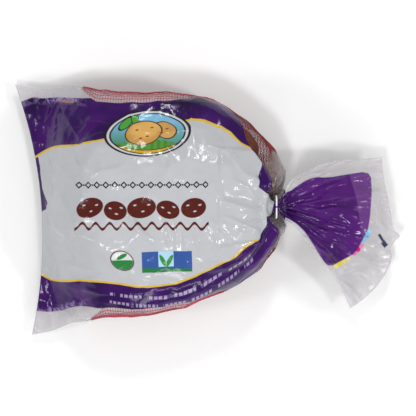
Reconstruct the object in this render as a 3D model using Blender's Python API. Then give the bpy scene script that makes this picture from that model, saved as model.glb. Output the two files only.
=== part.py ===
"""A clipped bag of potatoes, lying on its back.

The bag is one printed front film, welded round its edges to a back made of three panels: clear film
at the base, an open net, and clear film up to the mouth. A flat plastic clip closes the neck, and the
loose end of the bag spreads out past it. X runs from the base seam to the mouth, Y across the bag and
Z up, away from the surface that it lies on. Units are metres. The clip is made at X = Y = 0, and at
the end the whole bag is moved so that the middle of its box's underside is there.

Every film panel is a piece of one skin. The skin is a row of closed loops, one for each station
along the bag, and a point of it is found from its station and from an angle round the loop, which is
0 at the +Y edge and 90 degrees at the top.
"""

import math

import bmesh
import bpy
import numpy as np
from mathutils import Matrix, Vector

# Driving dimensions.
SEAM_WIDTH = 0.267
BODY_LENGTH = 0.249
BODY_HEIGHT = 0.110
TAIL_LENGTH = 0.131
TAIL_SPREAD = 0.162
FILM_WALL = 0.0008
NECK_WALL = 0.0046
PANEL_GAP = 0.0004
CLIP_WIDTH = 0.0245
CLIP_HEIGHT = 0.0200
CLIP_THICKNESS = 0.0013
CLIP_SLIT = 0.0016
CLIP_CORNER = 0.0030
CLIP_CLEARANCE = 0.0004
CLIP_TILT = math.radians(4.0)
LOAD_CLEARANCE = 0.0015
LAYER_GAP = 0.0004

# Stations run from 0 at the base seam to 1 at the clip and 2 at the mouth.
NECK_STATION = 1.0
MOUTH_STATION = 2.0
BASE_PANEL_END = 0.21
NET_END = 0.93
STATION_GAP = 0.002

# Where the skin runs, seen from above: a station, then the +Y edge, the middle line and the -Y edge.
# Up to the clip x is a share of BODY_LENGTH and y a share of half of SEAM_WIDTH, from the clip's centre.
BODY_PLAN = (
    (0.000, (-1.115, 0.976), (-1.000, -0.012), (-1.043, -1.020)),
    (0.060, (-1.004, 0.945), (-0.970, -0.012), (-0.962, -0.990)),
    (0.150, (-0.885, 0.940), (-0.911, -0.012), (-0.851, -0.909)),
    (0.280, (-0.749, 0.917), (-0.783, -0.012), (-0.715, -0.869)),
    (0.420, (-0.600, 0.901), (-0.621, 0.004), (-0.570, -0.861)),
    (0.560, (-0.451, 0.895), (-0.460, 0.020), (-0.434, -0.813)),
    (0.700, (-0.302, 0.837), (-0.298, 0.020), (-0.289, -0.710)),
    (0.800, (-0.187, 0.734), (-0.187, 0.020), (-0.170, -0.607)),
    (0.880, (-0.089, 0.599), (-0.102, 0.012), (-0.081, -0.504)),
    (0.940, (0.000, 0.417), (-0.060, 0.004), (-0.004, -0.282)),
    (0.960, (0.012, 0.290), (-0.042, 0.004), (0.010, -0.190)),
    (0.975, (-0.032, 0.110), (-0.036, 0.004), (-0.030, -0.090)),
    (0.988, (-0.012, 0.024), (-0.012, 0.000), (-0.012, -0.024)),
    (1.000, (0.000, 0.024), (0.000, 0.000), (0.000, -0.024)),
)
# Past the clip x is a share of TAIL_LENGTH and y a share of half of TAIL_SPREAD.
TAIL_PLAN = (
    (1.000, (0.000, 0.040), (0.000, 0.000), (0.000, -0.040)),
    (1.020, (0.020, 0.040), (0.020, 0.000), (0.020, -0.040)),
    (1.070, (0.060, 0.180), (0.060, 0.010), (0.060, -0.150)),
    (1.150, (0.125, 0.350), (0.140, 0.030), (0.125, -0.220)),
    (1.300, (0.235, 0.452), (0.275, 0.010), (0.220, -0.370)),
    (1.500, (0.420, 0.582), (0.490, -0.080), (0.340, -0.665)),
    (1.700, (0.600, 0.622), (0.690, -0.170), (0.450, -0.850)),
    (1.850, (0.745, 0.634), (0.850, -0.250), (0.530, -1.060)),
    (2.000, (0.865, 0.662), (0.960, -0.370), (0.607, -1.333)),
)
# Shares of BODY_HEIGHT at each station: the edge's height, the crown above it, the belly below it.
HEIGHTS = (
    (0.000, 0.18, 0.00, 0.00),
    (0.060, 0.18, 0.10, 0.10),
    (0.150, 0.25, 0.42, 0.35),
    (0.280, 0.31, 0.62, 0.42),
    (0.420, 0.33, 0.66, 0.44),
    (0.560, 0.34, 0.65, 0.44),
    (0.700, 0.35, 0.63, 0.45),
    (0.800, 0.37, 0.56, 0.46),
    (0.880, 0.41, 0.45, 0.45),
    (0.940, 0.50, 0.27, 0.38),
    (0.970, 0.57, 0.14, 0.20),
    (0.979, 0.61, 0.04, 0.10),
    (0.988, 0.62, 0.00, 0.00),
    (1.020, 0.62, 0.00, 0.00),
    (1.150, 0.61, 0.00, 0.00),
    (1.300, 0.55, 0.00, 0.00),
    (1.500, 0.44, 0.00, 0.00),
    (1.700, 0.33, 0.00, 0.00),
    (1.850, 0.26, 0.00, 0.00),
    (2.000, 0.20, 0.00, 0.00),
)
# How far the mouth's edge swings from the curve through its three points, as a share of TAIL_LENGTH.
MOUTH_SWING = ((1.0, 0.0), (1.3, 0.0), (1.7, -0.06), (2.0, -0.16))
# How a loop's section is filled: the power of the sine, where 1 is an ellipse and more is flatter ears.
FULLNESS = (
    (0.00, 3.0),
    (0.06, 2.4),
    (0.15, 1.5),
    (0.28, 1.0),
    (0.42, 0.85),
    (0.80, 0.85),
    (0.97, 1.0),
    (2.00, 1.0),
)
# How far the ears of the base seam droop below its middle, as a share of the edge's height.
EAR_DROOP = ((0.0, 0.55), (0.06, 0.5), (0.15, 0.2), (0.28, 0.0), (2.0, 0.0))
# How far the lower skin bulges past the upper one towards the mouth, as a share of BODY_LENGTH.
SHOULDER = (
    (0.0, 0.0),
    (0.6, 0.0),
    (0.8, 0.03),
    (0.9, 0.065),
    (0.94, 0.08),
    (0.96, 0.084),
    (0.97, 0.060),
    (0.979, 0.0),
    (2.0, 0.0),
)
# The angle, in degrees, at which the front film meets the back, on the +Y and on the -Y side.
SEAM_ANGLES = (
    (0.00, 0.0, 0.0),
    (0.06, 0.0, 0.0),
    (0.15, 0.0, 0.0),
    (0.20, 10.0, 7.0),
    (0.28, 25.0, 24.0),
    (0.42, 25.0, 22.0),
    (0.56, 22.0, 18.0),
    (0.66, 12.0, 13.0),
    (0.74, 0.0, 8.0),
    (0.80, 10.0, 2.0),
    (0.87, 35.0, 0.0),
    (0.94, 45.0, 4.0),
    (0.97, 36.0, 10.0),
    (0.988, 0.0, 0.0),
    (2.00, 0.0, 0.0),
)
# Where the film is gathered, so that its wall grows from FILM_WALL to NECK_WALL.
NECK_THICKENS = (
    (0.000, 0.0),
    (0.970, 0.0),
    (0.979, 0.3),
    (0.988, 1.0),
    (1.020, 1.0),
    (1.070, 0.0),
    (2.000, 0.0),
)

# The grid of the film.
BODY_STATIONS = 25
NECK_STATIONS = (0.970, 0.979, 0.988, 1.0, 1.02, 1.045, 1.07)
TAIL_STATIONS = 7
FRONT_STEPS = 14
BACK_STEPS = 16
SLOPE_STEP = 0.002

# Each potato: centre, then length, width and depth, as shares of the load's space; then its turn about
# Z, its tilt from the level and its roll, in degrees. The load's space is BODY_LENGTH long, SEAM_WIDTH
# wide and BODY_HEIGHT high, and its centre lies halfway along the body. The turns are made in shares
# too, so that a change of the bag's size keeps the potatoes apart.
POTATOES = (
    ("potato_01", (-0.225, 0.295, 0.290), (0.375, 0.245, 0.50), (4.0, 0.0, 0.0)),
    ("potato_02", (-0.240, 0.035, 0.285), (0.365, 0.235, 0.51), (-5.0, 0.0, 0.0)),
    ("potato_03", (-0.215, -0.225, 0.285), (0.375, 0.240, 0.49), (3.0, 0.0, 0.0)),
    ("potato_04", (0.240, 0.262, 0.330), (0.385, 0.205, 0.46), (-14.0, 0.0, 0.0)),
    ("potato_05", (0.135, 0.025, 0.285), (0.360, 0.220, 0.50), (3.0, 0.0, 0.0)),
    ("potato_06", (0.175, -0.205, 0.275), (0.365, 0.210, 0.48), (8.0, 0.0, 0.0)),
    ("potato_07", (0.416, -0.030, 0.290), (0.270, 0.178, 0.49), (86.0, 0.0, 0.0)),
    ("potato_08", (-0.155, 0.140, 0.700), (0.345, 0.235, 0.42), (-4.0, 0.0, 0.0)),
    ("potato_09", (-0.155, -0.105, 0.705), (0.345, 0.230, 0.42), (6.0, 0.0, 0.0)),
    ("potato_10", (0.205, 0.138, 0.705), (0.345, 0.230, 0.43), (5.0, 0.0, 0.0)),
    ("potato_11", (0.205, -0.105, 0.710), (0.350, 0.225, 0.43), (-7.0, 0.0, 0.0)),
)
POTATO_SEGMENTS = 16
POTATO_RINGS = 9
POTATO_SQUARENESS = 0.88
POTATO_TAPER = 0.10

PRINT_PURPLE = (0.062, 0.008, 0.130, 1.0)
CLEAR_FILM = (0.72, 0.71, 0.73, 1.0)
NET_RED = (0.52, 0.04, 0.07, 1.0)
CLIP_WHITE = (0.80, 0.80, 0.78, 1.0)
POTATO_BROWN = (0.36, 0.21, 0.10, 1.0)


def smooth_curve(knots, at):
    """The values at the given stations of a smooth curve through knots of (station, value), which
    never swings past a knot (Fritsch and Carlson's slopes)."""
    x = np.array([knot[0] for knot in knots])
    y = np.array([knot[1] for knot in knots])
    step = np.diff(x)
    rise = np.diff(y) / step
    slope = np.zeros(len(x))
    same_way = rise[:-1] * rise[1:] > 0
    weight_a = 2 * step[1:] + step[:-1]
    weight_b = step[1:] + 2 * step[:-1]
    safe = np.where(same_way, rise[:-1] * rise[1:], 1.0)
    mean = safe * (weight_a + weight_b) / (weight_a * rise[1:] + weight_b * rise[:-1] + (~same_way))
    slope[1:-1] = np.where(same_way, mean, 0.0)
    slope[0] = rise[0]
    slope[-1] = rise[-1]
    at = np.clip(at, x[0], x[-1])
    i = np.clip(np.searchsorted(x, at, side="right") - 1, 0, len(step) - 1)
    t = (at - x[i]) / step[i]
    return (
        y[i] * (1 + 2 * t) * (1 - t) ** 2
        + slope[i] * step[i] * t * (1 - t) ** 2
        + y[i + 1] * t**2 * (3 - 2 * t)
        + slope[i + 1] * step[i] * t**2 * (t - 1)
    )


def plan_edges(station):
    """The +Y edge, middle line and -Y edge of the skin at these stations, each an array of x and y."""
    edges = []
    for column in (1, 2, 3):
        axes = []
        for axis, body_unit, tail_unit in (
            (0, BODY_LENGTH, TAIL_LENGTH),
            (1, SEAM_WIDTH / 2, TAIL_SPREAD / 2),
        ):
            body = smooth_curve([(row[0], row[column][axis]) for row in BODY_PLAN], station)
            tail = smooth_curve([(row[0], row[column][axis]) for row in TAIL_PLAN], station)
            axes.append(np.where(station < NECK_STATION, body * body_unit, tail * tail_unit))
        edges.append(np.stack(axes, axis=-1))
    return edges


def column_of(table, column, station):
    return smooth_curve([(row[0], row[column]) for row in table], station)


def loop_points(station, angle):
    """Points of the skin's inner face at these stations and angles, which are arrays of one shape."""
    cosine = np.cos(angle)
    sine = np.sin(angle)
    plus, middle, minus = plan_edges(station)
    across = cosine[..., None]
    plan = middle + across * (plus - minus) / 2 + across**2 * ((plus + minus) / 2 - middle)
    edge = column_of(HEIGHTS, 1, station) * BODY_HEIGHT
    crown = column_of(HEIGHTS, 2, station) * BODY_HEIGHT + LAYER_GAP / 2
    belly = column_of(HEIGHTS, 3, station) * BODY_HEIGHT + LAYER_GAP / 2
    fill = np.abs(sine) ** smooth_curve(FULLNESS, station)
    edge = edge * (1 - smooth_curve(EAR_DROOP, station) * cosine**2)
    height = edge + np.where(sine >= 0, crown, -belly) * fill
    below = np.clip(-sine, 0, 1)
    x = plan[..., 0] + smooth_curve(SHOULDER, station) * BODY_LENGTH * below
    x += smooth_curve(MOUTH_SWING, station) * TAIL_LENGTH * cosine * sine**2
    return np.stack([x, plan[..., 1], np.maximum(height, FILM_WALL)], axis=-1)


def skin(station, angle):
    """The film's inner and outer faces at these stations and angles."""
    inner = loop_points(station, angle)
    along = loop_points(station + SLOPE_STEP, angle) - loop_points(station - SLOPE_STEP, angle)
    round_it = loop_points(station, angle + SLOPE_STEP) - loop_points(station, angle - SLOPE_STEP)
    normal = np.cross(round_it, along)
    normal /= np.linalg.norm(normal, axis=-1, keepdims=True)
    radial = np.stack([np.zeros_like(angle), np.cos(angle), np.sin(angle)], axis=-1)
    extra = (smooth_curve(NECK_THICKENS, station) * (NECK_WALL - FILM_WALL))[..., None]
    outer = inner + normal * FILM_WALL + radial * extra
    rests = inner[..., 2] <= FILM_WALL
    outer[..., 2] = np.where(rests, 0.0, np.maximum(outer[..., 2], 0.0))
    outer[..., :2] = np.where(rests[..., None], inner[..., :2], outer[..., :2])
    return inner, outer


def stations_between(first, last):
    """The grid's stations from first to last, closer together at the neck."""
    body = np.linspace(0.0, NECK_STATIONS[0], BODY_STATIONS)
    tail = np.linspace(NECK_STATIONS[-1], MOUTH_STATION, TAIL_STATIONS)
    every = np.unique(np.concatenate([body, NECK_STATIONS, tail]))
    inside = every[(every > first + 1e-3) & (every < last - 1e-3)]
    return np.concatenate([[first], inside, [last]])


def panel(name, first, last, front, colour, roughness):
    """One film panel between two stations: the front of the bag, or a piece of its back."""
    station = stations_between(first, last)
    plus_seam = np.radians(column_of(SEAM_ANGLES, 1, station))
    minus_seam = np.radians(column_of(SEAM_ANGLES, 2, station))
    if front:
        start, end, steps = plus_seam, math.pi - minus_seam, FRONT_STEPS
    else:
        start, end, steps = math.pi - minus_seam, 2 * math.pi + plus_seam, BACK_STEPS
    share = np.linspace(0, 1, steps + 1)
    angle = start[:, None] + (end - start)[:, None] * share
    grid = np.broadcast_to(station[:, None], angle.shape)
    faces = [draw_in(face) for face in skin(grid, angle)]
    for face in faces:
        face[..., 2] += PANEL_GAP / 2 if front else 0.0
    return shell_object(name, *faces, colour, roughness)


def draw_in(face):
    """The face with its first and last column moved back from the seam by half of PANEL_GAP."""
    face = face.copy()
    for edge, beside in ((0, 1), (-1, -2)):
        inward = face[:, beside] - face[:, edge]
        face[:, edge] += inward / np.linalg.norm(inward, axis=-1, keepdims=True) * PANEL_GAP / 2
    return face


def shell_object(name, inner, outer, colour, roughness):
    """A closed shell between two grids of points, with its four rims filled."""
    rows, columns = inner.shape[:2]
    mesh_maker = bmesh.new()
    lower = [[mesh_maker.verts.new(p) for p in line] for line in inner]
    upper = [[mesh_maker.verts.new(p) for p in line] for line in outer]
    for r in range(rows - 1):
        for c in range(columns - 1):
            quad = (r, c), (r, c + 1), (r + 1, c + 1), (r + 1, c)
            mesh_maker.faces.new([lower[i][j] for i, j in quad])
            mesh_maker.faces.new([upper[i][j] for i, j in reversed(quad)])
    rim = [(0, c) for c in range(columns)]
    rim += [(r, columns - 1) for r in range(1, rows)]
    rim += [(rows - 1, c) for c in range(columns - 2, -1, -1)]
    rim += [(r, 0) for r in range(rows - 2, 0, -1)]
    for (i, j), (k, m) in zip(rim, rim[1:] + rim[:1], strict=True):
        mesh_maker.faces.new([lower[i][j], upper[i][j], upper[k][m], lower[k][m]])
    mesh_maker.normal_update()
    bmesh.ops.recalc_face_normals(mesh_maker, faces=mesh_maker.faces)
    return finished(name, mesh_maker, colour, roughness)


def finished(name, mesh_maker, colour, roughness, metallic=0.0):
    """An object made from a bmesh, in the bag's collection, with its own material."""
    mesh = bpy.data.meshes.new(name)
    mesh_maker.to_mesh(mesh)
    mesh_maker.free()
    mesh.shade_smooth()
    obj = bpy.data.objects.new(name, mesh)
    mesh.materials.append(plain_material(name, colour, roughness, metallic))
    bag_collection().objects.link(obj)
    return obj


def plain_material(name, colour, roughness, metallic):
    material = bpy.data.materials.new(name)
    material.use_nodes = True
    shader = material.node_tree.nodes["Principled BSDF"]
    shader.inputs["Base Color"].default_value = colour
    shader.inputs["Roughness"].default_value = roughness
    shader.inputs["Metallic"].default_value = metallic
    return material


def bag_collection():
    found = bpy.data.collections.get("potato_bag")
    if found is None:
        found = bpy.data.collections.new("potato_bag")
        bpy.context.scene.collection.children.link(found)
    return found


def clip_outline():
    """The clip's outline in its own plane: a plate with cut corners, and a slit down to the neck's hole."""
    half_width = CLIP_WIDTH / 2
    half_height = CLIP_HEIGHT / 2
    plus, _, minus = (edge[0] for edge in plan_edges(np.array([NECK_STATION])))
    hole_width = (plus[1] - minus[1]) / 2 + NECK_WALL + CLIP_CLEARANCE
    hole_height = LAYER_GAP / 2 + NECK_WALL + CLIP_CLEARANCE
    slit = CLIP_SLIT / 2
    first = math.asin(slit / hole_width)
    hole = []
    for angle in np.linspace(first, 2 * math.pi - first, 25):
        hole.append((-hole_width * math.sin(angle), hole_height * math.cos(angle)))
    cut = CLIP_CORNER
    plate = [
        (slit, half_height),
        (half_width - cut, half_height),
        (half_width, half_height - cut),
        (half_width, cut - half_height),
        (half_width - cut, -half_height),
        (cut - half_width, -half_height),
        (-half_width, cut - half_height),
        (-half_width, half_height - cut),
        (cut - half_width, half_height),
        (-slit, half_height),
    ]
    return plate + hole


def closure_clip():
    """The flat clip, a 2D curve extruded to its thickness, standing across the neck and leaning a little."""
    curve = bpy.data.curves.new("closure_clip", "CURVE")
    curve.dimensions = "2D"
    curve.fill_mode = "BOTH"
    curve.extrude = CLIP_THICKNESS / 2
    outline = clip_outline()
    spline = curve.splines.new("POLY")
    spline.points.add(len(outline) - 1)
    for point, (across, up) in zip(spline.points, outline, strict=True):
        point.co = (across, up, 0.0, 1.0)
    spline.use_cyclic_u = True
    clip = bpy.data.objects.new("closure_clip", curve)
    clip.rotation_euler = (math.pi / 2 + CLIP_TILT, 0.0, math.pi / 2)
    clip.location = (0.0, 0.0, neck_height())
    curve.materials.append(plain_material("closure_clip", CLIP_WHITE, 0.4, 0.0))
    bag_collection().objects.link(clip)
    return clip


def neck_height():
    return float(column_of(HEIGHTS, 1, np.array([NECK_STATION]))[0]) * BODY_HEIGHT


def potato(name, centre, size, turns):
    """One potato: a round form with blunt ends and one end slimmer, turned and set in the load's space."""
    load = np.array([BODY_LENGTH, SEAM_WIDTH, BODY_HEIGHT])
    mesh_maker = bmesh.new()
    bmesh.ops.create_uvsphere(
        mesh_maker, u_segments=POTATO_SEGMENTS, v_segments=POTATO_RINGS, radius=1.0
    )
    yaw, tilt, roll = (math.radians(a) for a in turns)
    turn = turned(yaw, tilt, roll)
    for vert in mesh_maker.verts:
        poles, side, up = vert.co.z, vert.co.x, vert.co.y
        blunt = math.copysign(abs(poles) ** POTATO_SQUARENESS, poles)
        slim = 1 - POTATO_TAPER * blunt
        shape = np.array([blunt, side * slim, up * slim]) * np.array(size) / 2
        place = (turn @ shape + np.array(centre)) * load
        place[0] -= BODY_LENGTH / 2
        vert.co = place
    lowest = min(vert.co.z for vert in mesh_maker.verts)
    mesh_maker.transform(lift_matrix(max(0.0, FILM_WALL + LOAD_CLEARANCE - lowest)))
    return finished(name, mesh_maker, POTATO_BROWN, 0.8)


def turned(yaw, tilt, roll):
    """The rotation of a potato whose length starts along X: rolled, tilted end up, then turned about Z."""
    spin = np.array(
        [
            [1, 0, 0],
            [0, math.cos(roll), -math.sin(roll)],
            [0, math.sin(roll), math.cos(roll)],
        ]
    )
    lift = np.array(
        [
            [math.cos(tilt), 0, -math.sin(tilt)],
            [0, 1, 0],
            [math.sin(tilt), 0, math.cos(tilt)],
        ]
    )
    swing = np.array(
        [
            [math.cos(yaw), -math.sin(yaw), 0],
            [math.sin(yaw), math.cos(yaw), 0],
            [0, 0, 1],
        ]
    )
    return swing @ lift @ spin


def lift_matrix(height):
    return Matrix.Translation((0.0, 0.0, height))


def clear_scene():
    for obj in list(bpy.data.objects):
        bpy.data.objects.remove(obj)


def centre_on_base():
    """Moves the whole bag so that the middle of its box's underside is at the origin."""
    bpy.context.view_layer.update()
    corners = []
    for obj in bag_collection().objects:
        corners += [obj.matrix_world @ Vector(corner) for corner in obj.bound_box]
    corners = np.array(corners)
    middle = (corners.min(axis=0) + corners.max(axis=0)) / 2
    for obj in bag_collection().objects:
        obj.location -= Vector((middle[0], middle[1], 0.0))


def main():
    clear_scene()
    panel("front_film", 0.0, MOUTH_STATION, True, PRINT_PURPLE, 0.25)
    panel("back_film_base", 0.0, BASE_PANEL_END, False, CLEAR_FILM, 0.2)
    panel("back_net", BASE_PANEL_END + STATION_GAP, NET_END, False, NET_RED, 0.6)
    panel("back_film_neck", NET_END + STATION_GAP, MOUTH_STATION, False, CLEAR_FILM, 0.2)
    closure_clip()
    for row in POTATOES:
        potato(*row)
    centre_on_base()


main()
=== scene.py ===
"""Looks for the clipped bag of potatoes: fine film, net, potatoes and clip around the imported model.

Lengths are in metres, and those of creases, folds and the print in millimetres. X runs from the base seam
to the mouth, Y across the bag and Z up, from the middle of the clip, and to_model moves them into place. The
film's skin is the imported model's own: a row of loops, one for each station along the bag. A station is 0 at
the base seam, 1 at the clip and 2 at the mouth. A loop's angle is 0 at the +Y edge and 90 degrees on top.
"""

import math
from functools import partialmethod

import bpy
import numpy as np
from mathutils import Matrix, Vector
from mathutils.bvhtree import BVHTree


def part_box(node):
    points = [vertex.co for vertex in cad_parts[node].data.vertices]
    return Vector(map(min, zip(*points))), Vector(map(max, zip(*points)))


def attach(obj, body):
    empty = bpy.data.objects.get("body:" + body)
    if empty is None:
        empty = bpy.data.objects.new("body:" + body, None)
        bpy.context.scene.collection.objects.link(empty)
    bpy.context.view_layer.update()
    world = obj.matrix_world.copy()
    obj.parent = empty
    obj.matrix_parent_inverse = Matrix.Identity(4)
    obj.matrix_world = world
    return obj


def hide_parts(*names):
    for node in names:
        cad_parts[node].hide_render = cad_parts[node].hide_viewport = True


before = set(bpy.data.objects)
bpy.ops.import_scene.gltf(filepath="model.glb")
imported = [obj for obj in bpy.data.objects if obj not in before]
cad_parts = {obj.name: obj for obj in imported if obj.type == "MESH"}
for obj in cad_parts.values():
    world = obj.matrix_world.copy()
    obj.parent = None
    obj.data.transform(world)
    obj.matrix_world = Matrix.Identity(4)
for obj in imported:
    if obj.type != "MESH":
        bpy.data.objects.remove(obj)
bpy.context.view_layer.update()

MM = 0.001

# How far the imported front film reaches, as shares of the bag's sizes, and the sizes from its box.
REACH_TO_BASE = 1.115
REACH_ACROSS = 1.0026
REACH_UP = 1.0013
REACH_TO_MOUTH = 0.9627
TAIL_TO_SEAM = 0.162 / 0.267
clip_low, clip_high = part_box("closure_clip")
front_low, front_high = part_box("front_film")
CLIP_X = (clip_low.x + clip_high.x) / 2
CLIP_Y = (clip_low.y + clip_high.y) / 2
CLIP_HEIGHT_MM = 68.0
POTATO_NAMES = [name for name in sorted(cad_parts) if name.startswith("potato")]
BODY_LENGTH = (CLIP_X - front_low.x) / REACH_TO_BASE
SEAM_WIDTH = (front_high.y - front_low.y) / REACH_ACROSS
BODY_HEIGHT = front_high.z / REACH_UP
TAIL_LENGTH = (front_high.x - CLIP_X) / REACH_TO_MOUTH
TAIL_SPREAD = SEAM_WIDTH * TAIL_TO_SEAM

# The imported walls: the film, the gathered film in the clip and the gap between its halves.
FILM_WALL = 0.0008
NECK_WALL = 0.0046
LAYER_GAP = 0.0004

# The fine sheets: their wall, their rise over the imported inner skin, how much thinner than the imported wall
# they leave the gather, how far one sheet's edge lies under the next, and the grids that they are made on.
SHEET_WALL = 0.00012
FILM_ABOVE = 0.0003
GATHER_SPARE = 0.0012
UNDER_NEXT_SHEET = 0.0016
FRONT_STEP = 0.0019
CLEAR_STEP = 0.0022
CLEAR_DEPTH = 0.0006
NET_STEP = 0.0015
NET_DEPTH = 0.0004
FRONT_COLUMNS = 200
CLEAR_COLUMNS = 150
NET_COLUMNS = 221
# Where the net's cords lie across it: their even shares, and the places where those shares fall.
NET_SPREAD = ((0.0, 0.03, 0.94, 1.0), (0.0, 0.06, 0.89, 1.0))

# Where the film hangs between potatoes: the share of the gap that it sags, from how wide a gap, and at most.
SAG_SHARE = 0.28
SAG_FROM = 0.002
SAG_MOST = 0.004
# How far the sheets keep from the potatoes and from the floor.
FILM_OFF_LOAD = 0.0006
NET_OFF_LOAD = 0.0009
LOWEST_FILM = 0.0002
LOWEST_CORD = 0.0001
CORD_RADIUS_ALONG = 0.00036
CORD_RADIUS_ACROSS = 0.00032
WELD_WITHIN = 0.00001
CLIP_BEVEL = 0.00022

# Stations where the back's panels end. The net runs on a little under the neck's film.
BASE_PANEL_END = 0.21
NET_END = 0.93
NET_TUCK = 0.972
MOUTH = 2.0

# Where the skin runs, seen from above: a station, then the +Y edge, the middle line and the -Y edge, as
# shares of BODY_LENGTH and half of SEAM_WIDTH up to the clip, and of the tail's sizes past it.
BODY_PLAN = (
    (0.0, (-1.115, 0.976), (-1.0, -0.012), (-1.043, -1.02)),
    (0.06, (-1.004, 0.945), (-0.97, -0.012), (-0.962, -0.99)),
    (0.15, (-0.885, 0.94), (-0.911, -0.012), (-0.851, -0.909)),
    (0.28, (-0.749, 0.917), (-0.783, -0.012), (-0.715, -0.869)),
    (0.42, (-0.6, 0.901), (-0.621, 0.004), (-0.57, -0.861)),
    (0.56, (-0.451, 0.895), (-0.46, 0.02), (-0.434, -0.813)),
    (0.7, (-0.302, 0.837), (-0.298, 0.02), (-0.289, -0.71)),
    (0.8, (-0.187, 0.734), (-0.187, 0.02), (-0.17, -0.607)),
    (0.88, (-0.089, 0.599), (-0.102, 0.012), (-0.081, -0.504)),
    (0.94, (0.0, 0.417), (-0.06, 0.004), (-0.004, -0.282)),
    (0.96, (0.012, 0.29), (-0.042, 0.004), (0.01, -0.19)),
    (0.975, (-0.032, 0.11), (-0.036, 0.004), (-0.03, -0.09)),
    (0.988, (-0.012, 0.024), (-0.012, 0.0), (-0.012, -0.024)),
    (1.0, (0.0, 0.024), (0.0, 0.0), (0.0, -0.024)),
)
TAIL_PLAN = (
    (1.0, (0.0, 0.04), (0.0, 0.0), (0.0, -0.04)),
    (1.02, (0.02, 0.04), (0.02, 0.0), (0.02, -0.04)),
    (1.07, (0.06, 0.18), (0.06, 0.01), (0.06, -0.15)),
    (1.15, (0.125, 0.35), (0.14, 0.03), (0.125, -0.22)),
    (1.3, (0.235, 0.452), (0.275, 0.01), (0.22, -0.37)),
    (1.5, (0.42, 0.582), (0.49, -0.08), (0.34, -0.665)),
    (1.7, (0.6, 0.622), (0.69, -0.17), (0.45, -0.85)),
    (1.85, (0.745, 0.634), (0.85, -0.25), (0.53, -1.06)),
    (2.0, (0.865, 0.662), (0.96, -0.37), (0.607, -1.333)),
)
# Shares of BODY_HEIGHT at each station: the edge's height, the crown above it, the belly below it.
HEIGHTS = (
    (0.0, 0.18, 0.0, 0.0), (0.06, 0.18, 0.1, 0.1), (0.15, 0.25, 0.42, 0.35),
    (0.28, 0.31, 0.62, 0.42), (0.42, 0.33, 0.66, 0.44), (0.56, 0.34, 0.65, 0.44),
    (0.7, 0.35, 0.63, 0.45), (0.8, 0.37, 0.56, 0.46), (0.88, 0.41, 0.45, 0.45),
    (0.94, 0.5, 0.27, 0.38), (0.97, 0.57, 0.14, 0.2), (0.979, 0.61, 0.04, 0.1),
    (0.988, 0.62, 0.0, 0.0), (1.02, 0.62, 0.0, 0.0), (1.15, 0.61, 0.0, 0.0),
    (1.3, 0.55, 0.0, 0.0), (1.5, 0.44, 0.0, 0.0), (1.7, 0.33, 0.0, 0.0),
    (1.85, 0.26, 0.0, 0.0), (2.0, 0.2, 0.0, 0.0),
)
# How far a loop swings from the curve through its three points, as a share of TAIL_LENGTH.
MOUTH_SWING = ((1.0, 0.0), (1.3, 0.0), (1.7, -0.06), (2.0, -0.16))
# How a loop's section is filled: the power of the sine, where 1 is an ellipse and more is flatter ears.
FULLNESS = (
    (0.0, 3.0), (0.06, 2.4), (0.15, 1.5), (0.28, 1.0), (0.42, 0.85), (0.8, 0.85), (0.97, 1.0),
    (2.0, 1.0),
)
# How far the ears of the base seam droop below its middle, as a share of the edge's height.
EAR_DROOP = ((0.0, 0.55), (0.06, 0.5), (0.15, 0.2), (0.28, 0.0), (2.0, 0.0))
# How far the lower skin bulges past the upper one towards the mouth, as a share of BODY_LENGTH.
SHOULDER = (
    (0.0, 0.0), (0.6, 0.0), (0.8, 0.03), (0.9, 0.065), (0.94, 0.08), (0.96, 0.084),
    (0.97, 0.06), (0.979, 0.0), (2.0, 0.0),
)
# The angle, in degrees, at which the front film meets the back, on the +Y and on the -Y side.
SEAM_ANGLES = (
    (0.0, 0.0, 0.0), (0.06, 0.0, 0.0), (0.15, 0.0, 0.0), (0.2, 10.0, 7.0), (0.28, 25.0, 24.0),
    (0.42, 25.0, 22.0), (0.56, 22.0, 18.0), (0.66, 12.0, 13.0), (0.74, 0.0, 8.0), (0.8, 10.0, 2.0),
    (0.87, 35.0, 0.0), (0.94, 45.0, 4.0), (0.97, 36.0, 10.0), (0.988, 0.0, 0.0), (2.0, 0.0, 0.0),
)
# How far, in mm, the film stands out at the +Y and the -Y edges, by station.
EDGE_STANDS_OUT = (
    (0.0, 1.5, 0.0), (0.1, 2.5, 0.5), (0.2, 5.0, 1.5), (0.3, 2.5, 1.0), (0.55, 2.0, 1.0),
    (0.72, 4.5, 1.5), (0.82, 2.5, 1.0), (0.94, 0.0, 0.0), (2.0, 0.0, 0.0),
)
# How far, in degrees, the front's clear hem runs on under the net, by station.
HEM = ((0.0, 0.0), (0.2, 0.0), (0.24, 26.0), (0.70, 24.0), (0.76, 0.0), (2.0, 0.0))
# Where the film is gathered, so that its wall grows from FILM_WALL to NECK_WALL.
NECK_THICKENS = (
    (0.0, 0.0), (0.97, 0.0), (0.979, 0.3), (0.988, 1.0), (1.02, 1.0), (1.07, 0.0), (2.0, 0.0),
)


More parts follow.
